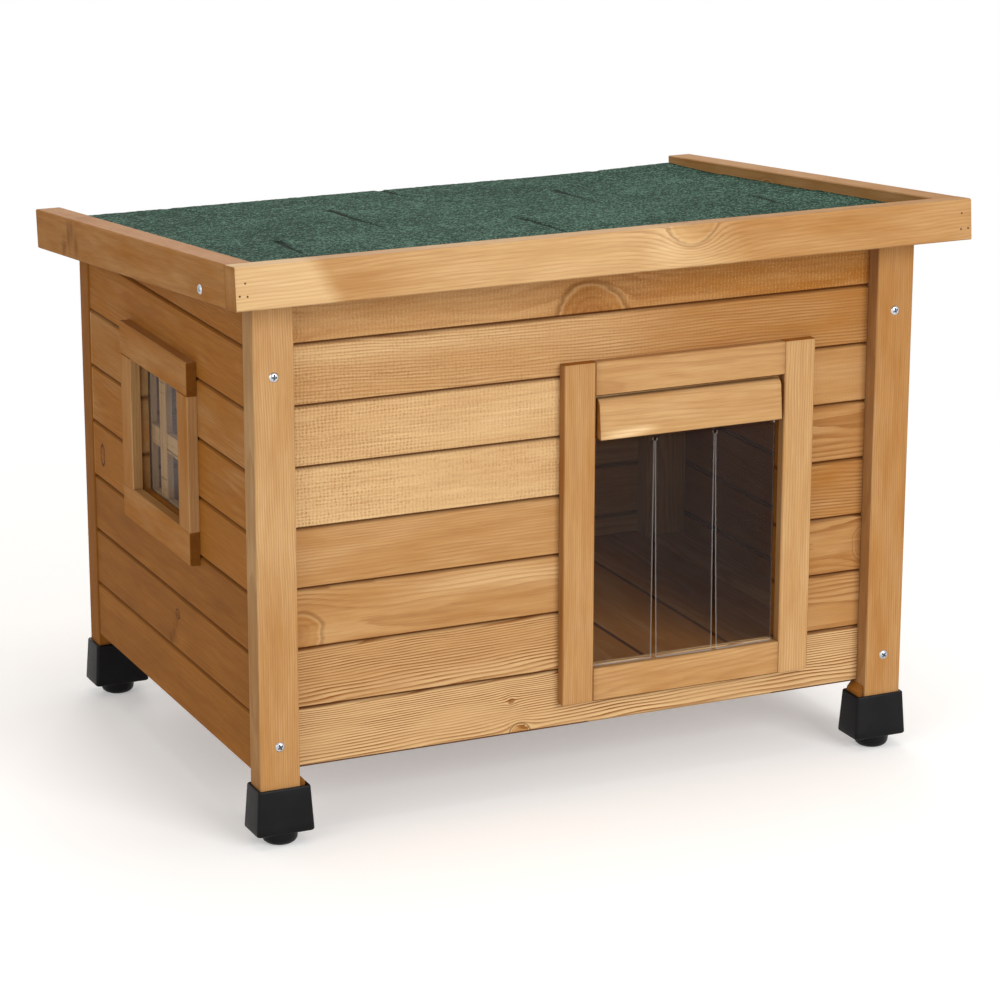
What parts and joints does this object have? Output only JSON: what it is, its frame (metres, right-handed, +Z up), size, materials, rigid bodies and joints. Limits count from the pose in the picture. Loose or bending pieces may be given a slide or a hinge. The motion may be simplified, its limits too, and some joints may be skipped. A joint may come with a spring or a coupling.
{
  "type": "cat house",
  "caption": "Wooden outdoor cat house with a hinged felt pent roof, a doorway closed by clear swinging strips, a latticed side window and capped feet.",
  "frame": {"origin": "on the ground, under the middle of the whole house with its roof shut", "axes": "+X to the house's right seen from the door, +Y to the rear, +Z up"},
  "size_m": [0.5728, 0.4408, 0.4289],
  "materials": {
    "stained_pine": "honey-brown stain on planed pine, satin",
    "green_felt": "bitumen felt with green mineral granules",
    "black_plastic": "moulded, satin",
    "clear_flap": "clear flexible sheet",
    "clear_pane": "clear rigid sheet",
    "zinc_steel": "bright zinc plated"
  },
  "bodies": {
    "house": {"corner_batten_front_left": "stained_pine", "corner_batten_front_right": "stained_pine", "corner_batten_rear_left": "stained_pine", "corner_batten_rear_right": "stained_pine", "door_rail_bottom": "stained_pine", "door_rail_top": "stained_pine", "door_stile_left": "stained_pine", "door_stile_right": "stained_pine", "flap_band": "clear_flap", "flap_batten": "stained_pine", "floor_bearer_front": "stained_pine", "floor_bearer_rear": "stained_pine", "floor_boards": "stained_pine", "foot_front_left": "black_plastic", "foot_front_right": "black_plastic", "foot_rear_left": "black_plastic", "foot_rear_right": "black_plastic", "front_board_lintel": "stained_pine", "front_board_sill": "stained_pine", "front_board_top": "stained_pine", "front_board_upper": "stained_pine", "front_boards_left": "stained_pine", "front_boards_right": "stained_pine", "hinge_pin_left": "zinc_steel", "hinge_pin_right": "zinc_steel", "hinge_rail": "stained_pine", "hinge_wall_leaf_left": "zinc_steel", "hinge_wall_leaf_right": "zinc_steel", "left_boards": "stained_pine", "leg_packers": "stained_pine", "post_front_left": "stained_pine", "post_front_right": "stained_pine", "post_rear_left": "stained_pine", "post_rear_right": "stained_pine", "post_screws": "zinc_steel", "rear_boards": "stained_pine", "right_boards": "stained_pine", "window_lattice": "stained_pine", "window_pane": "clear_pane", "window_rail_bottom": "stained_pine", "window_rail_top": "stained_pine", "window_stile_front": "stained_pine", "window_stile_rear": "stained_pine"},
    "roof": {"fascia_front": "stained_pine", "fascia_left": "stained_pine", "fascia_right": "stained_pine", "fascia_screws": "zinc_steel", "hinge_roof_leaf_left": "zinc_steel", "hinge_roof_leaf_right": "zinc_steel", "roof_batten_left": "stained_pine", "roof_batten_right": "stained_pine", "roof_boards": "stained_pine", "roof_felt": "green_felt"},
    "flap_left": {"flap_left": "clear_flap"},
    "flap_middle": {"flap_middle": "clear_flap"},
    "flap_right": {"flap_right": "clear_flap"}
  },
  "joints": [
    {"name": "roof_hinge", "type": "hinge", "parent": "house", "child": "roof", "pos_m": [0, 0.19693, 0.36922], "axis": [-1, 0, 0], "range_deg": [0, 95]},
    {"name": "flap_left_swing", "type": "hinge", "parent": "house", "child": "flap_left", "pos_m": [0.02917, -0.17061, 0.2625], "axis": [1, 0, 0], "range_deg": [-70, 70]},
    {"name": "flap_middle_swing", "type": "hinge", "parent": "house", "child": "flap_middle", "pos_m": [0.0785, -0.17061, 0.2625], "axis": [1, 0, 0], "range_deg": [-70, 70]},
    {"name": "flap_right_swing", "type": "hinge", "parent": "house", "child": "flap_right", "pos_m": [0.12783, -0.17061, 0.2625], "axis": [1, 0, 0], "range_deg": [-70, 70]}
  ]
}
